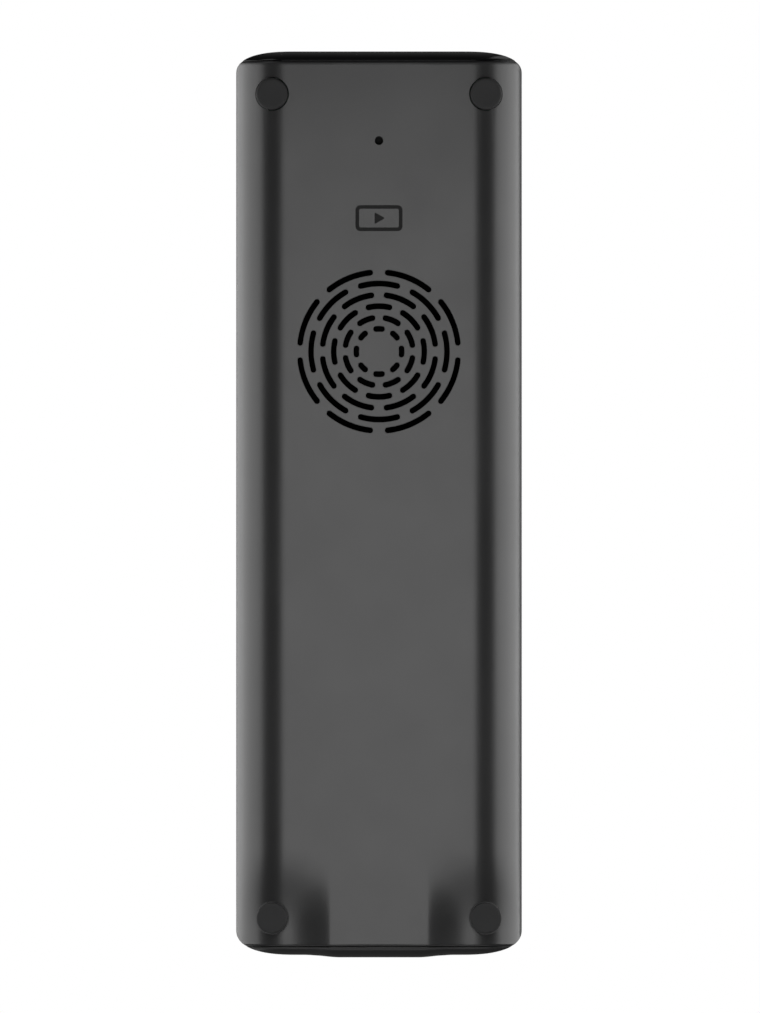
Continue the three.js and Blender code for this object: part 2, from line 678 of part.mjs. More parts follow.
// A receiver block with a domed lens on its front face.
function irReceiver() {
  const body = solid(box(IR.width, IR.depth, IR.high, 0, 0, 0));
  const lens = solid(new THREE.SphereGeometry(IR.lens, 14, 8).translate(0, -IR.lensOut, IR.lensHigh));
  return body.add(lens);
}

function leadFrom(points, radius) {
  return tube(points, radius, 18, 2);
}

// ---- Fan ----------------------------------------------------------------------------------

function fanFrame() {
  const { size, high, bore, holes, hole } = FAN;
  const outline = roundedRectangle(size, size, 1.5);
  outline.holes.push(roundShape(bore));
  for (const x of [-holes, holes]) {
    for (const y of [-holes, holes]) outline.holes.push(roundShape(hole, x, y));
  }
  const frame = solid(plate(outline, FAN_LOW, FAN_TOP, 8));
  const base = solid(rod(MOTOR_BASE.radius, FAN_TOP - MOTOR_BASE.high, FAN_TOP, 0, 0, 32));
  const struts = Array.from({ length: STRUT.count }, (_, i) => {
    const long = bore - STRUT.short;
    const middle = STRUT.from + long / 2;
    const strut = box(STRUT.width, long, MOTOR_BASE.high, 0, middle, FAN_TOP - MOTOR_BASE.high);
    return solid(strut.rotateZ((i * 2 * Math.PI) / STRUT.count + STRUT.turn));
  });
  const sleeve = solid(ring(SLEEVE.inner, SLEEVE.outer, SLEEVE.low, FAN_TOP - SUNK));
  return join([frame, base, ...struts, sleeve]);
}

// One blade: an aerofoil-like slat that leans more at the hub than at the tip.
function fanBlade() {
  const radii = [ROTOR.hub - 0.4, 8.6, 11.2, ROTOR.tip];
  const chord = (r) => BLADE.chord + BLADE.widening * r;
  const lean = (r) => THREE.MathUtils.degToRad(BLADE.lean - BLADE.untwist * r);
  const stations = radii.map((r) => {
    const row = (lift) =>
      [-0.5, -0.17, 0.17, 0.5].map((along) => {
        const camber = BLADE_SECTION.camber * (0.25 - along * along);
        const thick = lift * (BLADE_SECTION.thick - BLADE_SECTION.taper * along * along);
        const across = along * chord(r);
        const [c, s] = [Math.cos(lean(r)), Math.sin(lean(r))];
        const turn = (across * c - (camber + thick) * s) / r;
        const z = ROTOR.low + BLADE.mid + across * s + (camber + thick) * c;
        return new THREE.Vector3(r * Math.cos(turn), r * Math.sin(turn), z);
      });
    return { lower: row(-1), upper: row(1) };
  });
  return loft(stations);
}

function fanRotor() {
  const { hub, hubInner, low, blades } = ROTOR;
  const { high, web, bevel, bore } = CUP;
  const cup = solid(
    turned([
      [bore, low + web],
      [bore, low],
      [hub - bevel, low],
      [hub, low + bevel],
      [hub, low + high],
      [hubInner, low + high],
      [hubInner, low + web],
      [bore, low + web],
    ], 28),
  );
  const slats = Array.from({ length: blades }, (_, i) => {
    return solid(fanBlade()).rotate([0, 0, (i * 360) / blades]);
  });
  const core = solid(rod(hub - SEAM_GAP, low + web, low + high + 1, 0, 0, 32));
  return cup.add(join(slats).subtract(core));
}

// ---- Materials ----------------------------------------------------------------------------

function finish(color, roughness, metalness = 0) {
  return new THREE.MeshStandardMaterial({ color, roughness, metalness });
}

const MATERIALS = {
  case: finish(0x2b2b2c, 0.42),
  window: finish(0x050506, 0.12),
  rubber: finish(0x1d1d1e, 0.85),
  button: finish(0x262627, 0.35),
  steel: finish(0x8d8f92, 0.35, 1),
  board: finish(0x12301f, 0.5),
  chip: finish(0x18181a, 0.55),
  sink: finish(0x9a9da1, 0.4, 1),
  pad: finish(0x9fb3c8, 0.8),
  socket: finish(0xb5b7ba, 0.25, 1),
  plastic: finish(0x101011, 0.5),
  fan: finish(0x0c0c0d, 0.5),
  copper: finish(0x9c5a2c, 0.4, 1),
  brass: finish(0xb08d4f, 0.35, 1),
  lens: finish(0x17131a, 0.15),
  light: finish(0xd8dde0, 0.3),
  nylon: finish(0xd9d7cf, 0.6),
  magnet: finish(0x2e2e31, 0.7),
  lead: finish(0x0f0f10, 0.6),
  foil: finish(0x8a6a2f, 0.4),
};

// ---- Assembly -----------------------------------------------------------------------------

const player = new THREE.Group();

// Adds a named mesh to a group. shape is a solid or a geometry.
function add(group, name, shape, material, x = 0, y = 0, z = 0) {
  const geometry = shape.isBufferGeometry ? shape : geometryOf(shape);
  const mesh = new THREE.Mesh(geometry, MATERIALS[material]);
  mesh.name = name;
  mesh.position.set(x, y, z);
  group.add(mesh);
  return mesh;
}

const casing = new THREE.Group();
add(casing, "bottom_shell", bottomShell(), "case");
add(casing, "top_shell", topShell(), "case");
add(casing, "front_cap", frontCap(), "window");
add(casing, "rear_cap", rearCap(), "case");
FEET.forEach(({ name, x, y }) => {
  add(casing, `foot_${name}`, foot(), "rubber", x, y);
  add(casing, `case_screw_${name}`, caseScrew(), "steel", x, y);
});
player.add(casing);

const board = new THREE.Group();
add(board, "main_board", mainBoard(), "board");
add(board, "video_socket", videoShell(), "socket");
add(board, "video_tongue", videoTongue(), "plastic");
add(board, "power_socket", jackBody(1, POWER_BORE), "plastic");
const pinFrom = JACK.back + JACK.wall;
const powerPin = rodAlongY(POWER_PIN, pinFrom, JACK.mouth - 1, JACK.x, JACK_Z, 12);
add(board, "power_socket_pin", powerPin, "brass");
add(board, "audio_socket", jackBody(-1, AUDIO_BORE), "plastic");
player.add(board);

// Flat packages soldered to the top of the board: name, width, depth, height, x, y, material.
const PACKAGES = [
  ["processor", SOC.size, SOC.size, SOC.high, 0, SOC.y, "chip"],
  ["memory_chip_1", 9, 12, 1.0, -7.5, 31.5, "chip"],
  ["memory_chip_2", 9, 12, 1.0, 7.5, 31.5, "chip"],
  ["storage_chip", 11.5, 13, 1.0, 8, 46.5, "chip"],
  ["power_chip", 6, 6, 0.9, 12.5, 57.5, "chip"],
  ["radio_module", RADIO.width, RADIO.depth, RADIO.high, RADIO.x, RADIO.y, "socket"],
  ["inductor_1", 5, 5, 3.0, -17.5, 43, "magnet"],
  ["inductor_2", 5, 5, 3.0, -17.5, 50, "magnet"],
  ["crystal", 3.2, 5, 1.2, -12, 57.5, "socket"],
];
PACKAGES.forEach(([name, width, depth, height, x, y, material]) => {
  add(board, name, box(width, depth, height, 0, 0, 0), material, x, y, BOARD_TOP);
});
add(board, "thermal_pad", box(SOC.size, SOC.size, PAD_HIGH, 0, SOC.y, BOARD_TOP + SOC.high), "pad");
add(board, "heat_sink", heatSink(), "sink");
PINS.forEach(({ x, y }, i) => {
  add(board, `heat_sink_pin_${i + 1}`, sinkPin(), "nylon", x, y);
  add(board, `heat_sink_spring_${i + 1}`, sinkSpring(), "steel", x, y);
});
add(board, "capacitor_1", capacitor(), "socket", 17.4, 49.5, BOARD_TOP);
add(board, "capacitor_2", capacitor(), "socket", 17.4, 43.5, BOARD_TOP);
add(board, "ir_receiver", irReceiver(), "lens", -6, BOARD.front + 1.8, BOARD_TOP);
add(board, "status_led", box(3.2, 1.6, 1.6, 0, 0, 0), "light", 6, BOARD.front + 1.2, BOARD_TOP);

const controls = new THREE.Group();
add(controls, "power_button", powerButton(), "button", 0, POWER_Y);
add(controls, "power_switch", switchBody(POWER_SWITCH.high), "plastic", 0, POWER_Y, BOARD_TOP);
add(controls, "power_switch_plunger", switchPlunger(POWER_SWITCH), "nylon", 0, POWER_Y, BOARD_TOP);
player.add(controls);

// The reset switch hangs under the board, over the pinhole.
const reset = new THREE.Group();
reset.position.set(0, RESET_Y, BOARD.low);
reset.rotation.x = Math.PI;
add(reset, "reset_switch", switchBody(RESET_SWITCH.high), "plastic");
add(reset, "reset_plunger", switchPlunger(RESET_SWITCH), "plastic");
player.add(reset);

const fan = new THREE.Group();
fan.position.y = VENT_Y;
add(fan, "fan_frame", fanFrame(), "fan");
add(fan, "fan_rotor", fanRotor(), "fan");
const shaftTop = FAN_TOP - MOTOR_BASE.high - SHAFT.clear;
add(fan, "fan_shaft", rod(SHAFT.radius, SHAFT.low, shaftTop, 0, 0, 16), "steel");
add(fan, "fan_magnet", ring(MAGNET.inner, MAGNET.outer, MAGNET.low, MAGNET.high, 24), "magnet");
add(fan, "fan_stator", ring(STATOR.inner, STATOR.outer, STATOR.low, STATOR.high, 24), "copper");
const bearingTop = FAN_TOP - MOTOR_BASE.high - SHAFT.clear / 2;
const bearing = ring(BEARING.inner, BEARING.outer, SLEEVE.low + SHAFT.clear, bearingTop, 16);
add(fan, "fan_bearing", bearing, "brass");
player.add(fan);

// The fan's lead leaves the motor base and curves down to a plug on the board.
const plug = box(FAN_PLUG.width, FAN_PLUG.depth, FAN_PLUG.high, 0, 0, 0);
add(board, "fan_plug", plug, "nylon", FAN_PLUG.x, FAN_PLUG.y, BOARD_TOP);
add(board, "fan_lead", leadFrom([
  [-8, VENT_Y + 9.5, FAN_TOP + 0.55],
  [-11, VENT_Y + 10.5, FAN_TOP + 1.1],
  [-15, VENT_Y + 14, FAN_TOP + 1.6],
  [-17.5, VENT_Y + 18, FAN_TOP + 1.4],
  [FAN_PLUG.x, FAN_PLUG.y - 3.4, FAN_TOP + 0.3],
  [FAN_PLUG.x, FAN_PLUG.y - 2.3, BOARD_TOP + 1.5],
], FAN_LEAD), "lead");

// Two foil aerials under the top shell, each with a thin lead down to the radio module.
[-1, 1].forEach((side, i) => {
  const x = side * AERIAL.x;
  const end = RADIO.x + side * 3;
  const low = CEILING_Z - AERIAL.drop;
  const foil = box(AERIAL.width, AERIAL.length, AERIAL.thick, x, AERIAL.y, low);
  add(board, `aerial_${i + 1}`, foil, "foil");
  add(board, `aerial_lead_${i + 1}`, leadFrom([
    [x - side * 1.5, 40, low - 0.5],
    [x - side * 1.8, 43, low - 0.7],
    [(x + end) / 2, 46, low - 2.1],
    [end + side * 0.8, 47.5, BOARD_TOP + 4],
    [end, 48, BOARD_TOP + RADIO.high + 0.6],
  ], AERIAL.lead), "lead");
});

export default player;
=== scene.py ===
"""A slim streaming media player, lying on its four feet and seen square on from below.

Shapes are worked out in millimetres and made in metres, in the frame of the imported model. -Y is the
front, with the dark window, +Y the rear, with the sockets, and +Z up.
"""

import json
import math

import bmesh
import bpy
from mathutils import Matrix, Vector

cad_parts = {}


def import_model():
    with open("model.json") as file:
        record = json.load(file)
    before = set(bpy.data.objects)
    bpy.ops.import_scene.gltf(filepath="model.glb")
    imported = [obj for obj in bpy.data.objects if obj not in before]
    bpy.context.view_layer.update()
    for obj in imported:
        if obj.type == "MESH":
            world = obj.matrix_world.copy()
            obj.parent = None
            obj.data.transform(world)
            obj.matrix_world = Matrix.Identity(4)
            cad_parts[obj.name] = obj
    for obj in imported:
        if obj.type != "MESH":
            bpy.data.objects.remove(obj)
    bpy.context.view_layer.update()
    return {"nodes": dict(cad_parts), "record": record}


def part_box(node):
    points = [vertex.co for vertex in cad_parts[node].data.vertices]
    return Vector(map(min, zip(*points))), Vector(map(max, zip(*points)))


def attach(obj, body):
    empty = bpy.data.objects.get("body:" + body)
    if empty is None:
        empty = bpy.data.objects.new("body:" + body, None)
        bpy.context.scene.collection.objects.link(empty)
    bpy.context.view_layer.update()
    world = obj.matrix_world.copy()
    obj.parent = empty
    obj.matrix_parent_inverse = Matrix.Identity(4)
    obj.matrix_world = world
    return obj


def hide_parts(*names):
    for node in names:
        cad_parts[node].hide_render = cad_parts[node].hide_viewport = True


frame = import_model()

# ---- Places and sizes, from the frame -----------------------------------------------------------

MM = 0.001


def box_mm(node):
    """A node's lowest and highest corners at rest."""
    low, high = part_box(node)
    return low / MM, high / MM


def middle_mm(node):
    low, high = box_mm(node)
    return (low + high) / 2


BOTTOM_LOW, BOTTOM_HIGH = box_mm("bottom_shell")
UNDER_Z = BOTTOM_LOW.z
TOP_Z = box_mm("top_shell")[1].z
MID_Z = (UNDER_Z + TOP_Z) / 2
HALF_DEPTH = (TOP_Z - UNDER_Z) / 2
HALF_WIDTH = BOTTOM_HIGH.x
FRONT_Y = box_mm("front_cap")[0].y
REAR_LIP = 0.4  # how far the socket land stands out of the rear end
REAR_Y = box_mm("rear_cap")[1].y - REAR_LIP
FRONT_SEAM_Y = BOTTOM_LOW.y
REAR_SEAM_Y = BOTTOM_HIGH.y
VENT = middle_mm("fan_frame")
PINHOLE = middle_mm("reset_plunger")
BUTTON = middle_mm("power_button")

# ---- Sizes of the details, in millimetres -------------------------------------------------------

WALL = 1.6
FLAT_HALF = 15.3  # half width of the flat top and underside
ROUND = 0.14  # radius that softens the moulded edges along the side seams
END_SOFT = 0.45  # radius of the shells' edges at the end caps
CAP_SOFT = 0.06  # radius of the caps' own edges

# Ends: the corners in plan, and the edge that rolls from the flat into the end face.
CORNER_POWER = 2.45  # 2 would be an ellipse, and more is squarer
CORNER_ACROSS_FRONT = 10.0
CORNER_ACROSS_REAR = 10.5
CORNER_ALONG_FRONT = 3.7
CORNER_ALONG_REAR = 4.2
ROLL_ALONG = 1.7
ROLL_DEPTH = 5.0
ROLL_NARROWING = 3.7

# Rear underside: a land over the middle socket, with a scoop on each side of it.
LAND_HALF = 8.0
SCOOP_LENGTH = 18.0
SCOOP_FULL = 4.0  # the scoop has its whole depth this far from the rear end
SCOOP_DEPTH = 1.3
SCOOP_SKEW = 0.75  # below 1, the scoop's steepest line moves towards the land
LIP_HALF = 6.5
LIP_RAMP = 5.3  # from the land's lip back to the plain end face

# The seam between the shells, with a tongue on the lower one.
SEAM_GAP = 0.3
LIP_THICK = 0.6
LIP_RISE = 1.0
LIP_ROOM = 0.1  # over the tongue
SKIN_START = 0.3  # from the tongue's end to where the shell's inner skin starts

SLOT_WIDTH = 0.88
SLOTS_PER_RING = 8
VENT_PITCH = 1.88  # from ring to ring, and the first ring is two pitches out
# For each ring, the half angle from the middle of a slot to the centre of its round end, in degrees.
SLOT_HALVES = [7.6, 11.6, 13.4, 14.9, 15.6, 16.2]
EXHAUST = {"count": 12, "pitch": 2.9, "first": -9.0}
EXHAUST_SLOT = {"width": 1.1, "low": 12.4, "high": 15.6, "deep": 6.0}
PINHOLE_RADIUS = 0.67
PINHOLE_DEEP = 3.0
FOOT_POCKET = {"radius": 2.8, "deep": 2.4}
FOOT_SHAPE = {"edge": 0.35, "dish": 0.03, "dish_rim": 0.8, "dish_floor": 1.0}
BUTTON_HOLE = 4.5
BUTTON_SHAPE = {"radius": 4.2, "stem": 1.6, "play": 0.1, "flange": 0.85, "edge": 0.3, "dish": 0.28}
SOCKET_SHAPE = {"cut": 1.4, "soft": 0.35, "corner_long": 0.15, "corner_short": 0.05}
JACK_SNOUT = 2.2
MARK = {"y": -47.5, "width": 7.8, "height": 4.3, "stroke": 0.6, "deep": 0.12}
MARK_CORNERS = {"outer": 0.8, "inner": 0.3}
ARROW = {"x": -0.15, "size": 1.15, "corner": 0.12}

# ---- Mesh tools ---------------------------------------------------------------------------------


def mesh_object(name, points, faces):
    """An object from points in millimetres, with its faces turned out and split to quads at most."""
    mesh = bpy.data.meshes.new(name)
    mesh.from_pydata([Vector(p) * MM for p in points], [], faces)
    build = bmesh.new()
    build.from_mesh(mesh)
    bmesh.ops.recalc_face_normals(build, faces=build.faces)
    large = [face for face in build.faces if len(face.verts) > 4]
    bmesh.ops.triangulate(build, faces=large)
    build.to_mesh(mesh)
    build.free()
    ob = bpy.data.objects.new(name, mesh)
    bpy.context.scene.collection.objects.link(ob)
    return ob


def lofts(name, groups):
    """One object of closed skins, each through loops of equal length and closed at both ends."""
    points, faces = [], []
    for loops in groups:
        start, count = len(points), len(loops[0])
        for loop in loops:
            points.extend(loop)
        for k in range(len(loops) - 1):
            a, b = start + k * count, start + (k + 1) * count
            for i in range(count):
                j = (i + 1) % count
                faces.append((a + i, a + j, b + j, b + i))
        end = start + (len(loops) - 1) * count
        faces.append(tuple(range(start, start + count)))
        faces.append(tuple(range(end, end + count)))
    return mesh_object(name, points, faces)


def turned(name, profile, x, y, sides=72):
    """A profile of (radius, z) turned round the upright line through x and y, axis to axis."""
    points, faces, rows = [], [], []
    for radius, z in profile:
        if radius == 0:
            rows.append([len(points)] * sides)
            points.append((x, y, z))
            continue
        rows.append(list(range(len(points), len(points) + sides)))
        for i in range(sides):
            angle = 2 * math.pi * i / sides
            points.append((x + radius * math.cos(angle), y + radius * math.sin(angle), z))
    for here, there in zip(rows, rows[1:]):
        for i in range(sides):
            j = (i + 1) % sides
            corners = [here[i], here[j], there[j], there[i]]
            faces.append(tuple(dict.fromkeys(corners)))
    return mesh_object(name, points, [face for face in faces if len(face) > 2])


def settle(ob):
    """Replaces an object's mesh by what its modifiers make of it."""
    graph = bpy.context.evaluated_depsgraph_get()
    made = bpy.data.meshes.new_from_object(ob.evaluated_get(graph))
    ob.modifiers.clear()
    ob.data = made
    return ob


def carve(ob, *cutters):
    """Cuts the cutters out of an object and deletes them."""
    for cutter in cutters:
        modifier = ob.modifiers.new("carve", "BOOLEAN")
        modifier.operation = "DIFFERENCE"
        modifier.solver = "MANIFOLD"
        modifier.object = cutter
        settle(ob)
        bpy.data.objects.remove(cutter)
    return ob


def smooth(ob, angle):
    """Smooth shading, with edges sharper than the angle kept crisp and large faces kept flat."""
    for polygon in ob.data.polygons:
        polygon.use_smooth = True
    ob.data.set_sharp_from_angle(angle=math.radians(angle))
    weights = ob.modifiers.new("weights", "WEIGHTED_NORMAL")
    weights.keep_sharp = True
    weights.weight = 90
    return ob


def arc(cx, cy, radius, start, end, steps):
    """Points along an arc, angles in degrees."""
    angles = [math.radians(start + (end - start) * i / steps) for i in range(steps + 1)]
    return [(cx + radius * math.cos(a), cy + radius * math.sin(a)) for a in angles]


def quarter_turn(steps):
    """Angles from 0 to a right angle, in radians."""
    return [math.radians(90 * i / steps) for i in range(steps + 1)]


def rounded_outline(x, y, width, height, radius, steps=6):
    """A rounded rectangle's outline, anticlockwise, from its right-hand top corner."""
    w, h = width / 2 - radius, height / 2 - radius
    return [
        *arc(x + w, y + h, radius, 0, 90, steps),
        *arc(x - w, y + h, radius, 90, 180, steps),
        *arc(x - w, y - h, radius, 180, 270, steps),
        *arc(x + w, y - h, radius, 270, 360, steps),
    ]


# ---- The case's shape ---------------------------------------------------------------------------


def end_share(distance, reach, power=2.0):
    """0 beyond a rounded end's reach, rising to 1 at the end."""
    if distance >= reach:
        return 0.0
    return 1 - (1 - (1 - max(0.0, distance) / reach) ** power) ** (1 / power)


def smooth_step(share):
    s = min(1.0, max(0.0, share))
    return s * s * (3 - 2 * s)


def section(y, inset, around=None):
    """The case's half sizes at y: where the plan's corner cuts it off, width, depth, width of the flat.

    They lie inset inside the skin. In plan they lie around inside it, where that is given.
    """
    around = inset if around is None else around
    at_front = y < 0
    distance = y - FRONT_Y if at_front else REAR_Y - y
    roll = end_share(distance, ROLL_ALONG)
    along = CORNER_ALONG_FRONT if at_front else CORNER_ALONG_REAR
    across = CORNER_ACROSS_FRONT if at_front else CORNER_ACROSS_REAR
    corner = end_share(distance, along, CORNER_POWER)
    return (
        HALF_WIDTH - across * corner - around,
        HALF_WIDTH - around,
        HALF_DEPTH - ROLL_DEPTH * roll - inset,
        FLAT_HALF - ROLL_NARROWING * roll,
    )


def scoop(x, y):
    """How far the underside is scooped up beside the land at the rear."""
    along = smooth_step((SCOOP_LENGTH - (REAR_Y - y)) / (SCOOP_LENGTH - SCOOP_FULL))
    across = min(1.0, max(0.0, (abs(x) - LAND_HALF) / (FLAT_HALF - LAND_HALF)))
    return SCOOP_DEPTH * along * smooth_step(across**SCOOP_SKEW)


# Places across the flat, closest together where the scoop starts beside the land.
FLAT_STEPS = [0, 3, 6, 7.6, 8, 8.2, 8.4, 8.7, 9, 9.4, 9.8, 10.3, 10.8, 11.4, 12, 12.7, 13.4, 14.1, 14.7]
CURVE_STEPS = 23
UPRIGHT_STEPS = 4
SPLIT_ANGLE = 12  # degrees above the middle plane, where the side's upright steps start


def skin_point(x, offset, y, side):
    """A point of the skin from its height over the middle plane, with the scoop taken off below."""
    if side < 0:
        offset *= (HALF_DEPTH - scoop(x, y)) / HALF_DEPTH
    return x, y, MID_Z + side * offset


def quarter(y, inset, side, stop, around=None):
    """The skin from the middle of the flat out to the side, ending stop from the middle plane."""
    cut, half_width, half_depth, flat = section(y, inset, around)
    curve = half_width - flat
    share = min(1.0, (cut - flat) / curve)
    split = max(math.radians(SPLIT_ANGLE), math.acos(share))
    row = [(place * flat / FLAT_HALF, half_depth) for place in FLAT_STEPS]
    for i in range(CURVE_STEPS + 1):
        angle = math.pi / 2 + (split - math.pi / 2) * i / CURVE_STEPS
        row.append((flat + curve * math.cos(angle), half_depth * math.sin(angle)))
    upright = half_depth * math.sin(split)
    for i in range(1, UPRIGHT_STEPS + 1):
        offset = upright + (stop - upright) * i / UPRIGHT_STEPS
        row.append((min(cut, flat + curve * math.sqrt(1 - (offset / half_depth) ** 2)), offset))
    return [skin_point(x, offset, y, side) for x, offset in row]


def mirrored(row):
    """A row from the middle outwards as a whole row, from -X to +X."""
    return [(-x, y, z) for x, y, z in reversed(row[1:])] + row


STRAIGHT_STATIONS = [-60.0, -30.0, 0.0, 30.0]
SCOOP_STEPS = 22
CORNER_STEPS = 5
SEAM_STEPS = 4
CORNER_NEAR = 2.4  # how near to an end the stations of its corner go
SEAM_NEAR = 2.05  # how near to the rear end the stations towards its seam start
SCOOP_CLEAR = 0.2  # between the scoop's last station and the corner's first


def spread(start, end, steps):
    return [start + (end - start) * (i / steps) for i in range(steps + 1)]


def case_stations():
    """Places along the case from seam to seam, close together where its shape changes."""
    front = [FRONT_SEAM_Y, *spread(FRONT_Y + CORNER_NEAR, FRONT_Y + CORNER_ALONG_FRONT, CORNER_STEPS)]
    rear = spread(REAR_Y - SCOOP_LENGTH, REAR_Y - CORNER_ALONG_REAR - SCOOP_CLEAR, SCOOP_STEPS)
    rear += spread(REAR_Y - CORNER_ALONG_REAR, REAR_Y - CORNER_NEAR, CORNER_STEPS)
    rear += spread(REAR_Y - SEAM_NEAR, REAR_SEAM_Y, SEAM_STEPS)
    return sorted(set(front + STRAIGHT_STATIONS + rear))


def shell_loop(y, inset, side):
    """The closed cross-section of one half shell at y, its outside moved in by inset."""
    gap = SEAM_GAP / 2
    outside = quarter(y, inset, side, gap + ROUND, min(inset, ROUND / 2))
    edge_x = outside[-1][0]
    rim = [(edge_x - ROUND + ROUND * math.cos(a), gap + ROUND - ROUND * math.sin(a))
           for a in quarter_turn(3)[1:]]
    half_width = section(y, 0)[0]
    if side < 0:  # the tongue that stands up inside the top shell
        step_x = half_width - WALL + LIP_THICK
        rim += [(step_x, gap), (step_x, gap - LIP_RISE), (half_width - WALL, gap - LIP_RISE)]
    else:  # the rebate that takes the tongue
        step_x = half_width - WALL + LIP_THICK + SEAM_GAP
        top = gap + LIP_RISE + LIP_ROOM
        rim += [(step_x, gap), (step_x, top), (half_width - WALL, top)]
    steps = [(x, y, MID_Z + side * offset) for x, offset in rim]
    inside = quarter(y, WALL, side, gap + LIP_RISE + SKIN_START)
    right = outside + steps + inside[::-1]
    left = [(-x, yy, z) for x, yy, z in right]
    return right + left[::-1][1:-1]


def end_loops(y, side):
    """Cross-sections that round the shell's edge at the seam at y, from front to rear."""
    inwards = 1 if y < 0 else -1
    loops = [shell_loop(y + inwards * END_SOFT * (1 - math.cos(a)), END_SOFT * (1 - math.sin(a)), side)
             for a in quarter_turn(4)]
    return loops if inwards > 0 else loops[::-1]


def shell(name, side):
    """A half shell: the lower one where side is -1, and the upper one where it is 1."""
    loops = []
    for y in case_stations():
        near = min(y - FRONT_SEAM_Y, REAR_SEAM_Y - y)
        if near <= 0:
            loops.extend(end_loops(y, side))
        elif near > END_SOFT:
            loops.append(shell_loop(y, 0, side))
    return lofts(name, [loops])


# ---- Cutters ------------------------------------------------------------------------------------

PLAIN_START = -2.0  # a plain cutter starts this far outside the surface
SIDE_LEFT = 0.001  # keeps the straight sides of a round-ended outline from having no length
# How much wider an opening is at each depth, from outside the surface to its far end.
MOUTH = [(0.2, -0.3), (0.07, 0.0), (0.035, 0.018), (0.012, 0.045), (0.0, 0.08), (0.0, 3.0)]


def arc_slot(radius, half, middle, grow):
    """A slot bent round the vent's centre, with round ends, grown all round by grow."""
    start, end = middle - half, middle + half
    reach = SLOT_WIDTH / 2 + grow
    a, b = math.radians(start), math.radians(end)
    points = arc(0, 0, radius + reach, start, end, 10)
    points += arc(radius * math.cos(b), radius * math.sin(b), reach, end, end + 180, 8)[1:-1]
    points += arc(0, 0, radius - reach, end, start, 10)
    points += arc(radius * math.cos(a), radius * math.sin(a), reach, start + 180, start + 360, 8)[1:-1]
    return [(VENT.x + x, VENT.y + y) for x, y in points]


def vent_cutter():
    """The rings of slots under the fan, alternate rings turned by half a slot."""
    groups = []
    pitch = 360 / SLOTS_PER_RING
    for r, half in enumerate(SLOT_HALVES):
        radius = (r + 2) * VENT_PITCH
        for i in range(SLOTS_PER_RING):
            middle = 90 + (i + (0.5 if r % 2 else 0)) * pitch
            groups.append([[(x, y, UNDER_Z + deep) for x, y in arc_slot(radius, half, middle, grow)]
                           for grow, deep in MOUTH])
    return lofts("vent_cutter", groups)


def round_cutter(name, x, y, radius, z, deep, sides=48, flare=True):
    """A round hole up from the surface at z, with a softened mouth where flare is set."""
    levels = MOUTH[:-1] + [(0.0, deep)] if flare else [(0.0, PLAIN_START), (0.0, deep)]
    loops = [[(px, py, z + level) for px, py in arc(x, y, radius + grow, 0, 360, sides)[:-1]]
             for grow, level in levels]
    return lofts(name, [loops])


def exhaust_cutter():
    """Slots through both rounded sides of the top shell, their mouths following the skin."""
    width, low, high = EXHAUST_SLOT["width"], EXHAUST_SLOT["low"], EXHAUST_SLOT["high"]
    groups = []
    for side in (-1, 1):
        for i in range(EXHAUST["count"]):
            y = EXHAUST["first"] + i * EXHAUST["pitch"]
            loops = []
            for grow, deep in MOUTH[:-1] + [(0.0, EXHAUST_SLOT["deep"])]:
                outline = rounded_outline(y, (low + high) / 2, width + 2 * grow,
                                          high - low + 2 * grow, width / 2 + grow - SIDE_LEFT)
                loop = []
                for py, z in outline:
                    rise = min(1.0, (z - MID_Z) / HALF_DEPTH)
                    skin = FLAT_HALF + (HALF_WIDTH - FLAT_HALF) * math.sqrt(1 - rise * rise)
                    loop.append((side * (skin - deep), py, z))
                loops.append(loop)
            groups.append(loops)
    return lofts("exhaust_cutter", groups)


# ---- Materials ----------------------------------------------------------------------------------


def new_material(name):
    material = bpy.data.materials.new(name)
    material.use_nodes = True
    nodes, links = material.node_tree.nodes, material.node_tree.links
    return material, nodes, links, nodes["Principled BSDF"]


NOISE_LOW, NOISE_HIGH = 0.3, 0.7  # the range that most of the noise lies in
TONE_SCALE = 28.0  # slow changes of tone, in turns to the metre
SMUDGE_SCALE = 75.0  # handling marks
GRAIN_GLOSS = 0.02  # how far the grain moves the roughness each way


def noise_node(nodes, links, scale, detail, rough=0.55):
    """Noise in the frame's own metres, so that its grain has a real size."""
    place = nodes.new("ShaderNodeTexCoord")
    texture = nodes.new("ShaderNodeTexNoise")
    texture.inputs["Scale"].default_value = scale
    texture.inputs["Detail"].default_value = detail
    texture.inputs["Roughness"].default_value = rough
    links.new(place.outputs["Object"], texture.inputs["Vector"])
    return texture


def span(nodes, links, source, low, high):
    """The source's middle range stretched to run from low to high."""
    ramp = nodes.new("ShaderNodeMapRange")
    ramp.inputs["From Min"].default_value = NOISE_LOW
    ramp.inputs["From Max"].default_value = NOISE_HIGH
    ramp.inputs["To Min"].default_value = low
    ramp.inputs["To Max"].default_value = high
    links.new(source, ramp.inputs["Value"])
    return ramp.outputs["Result"]


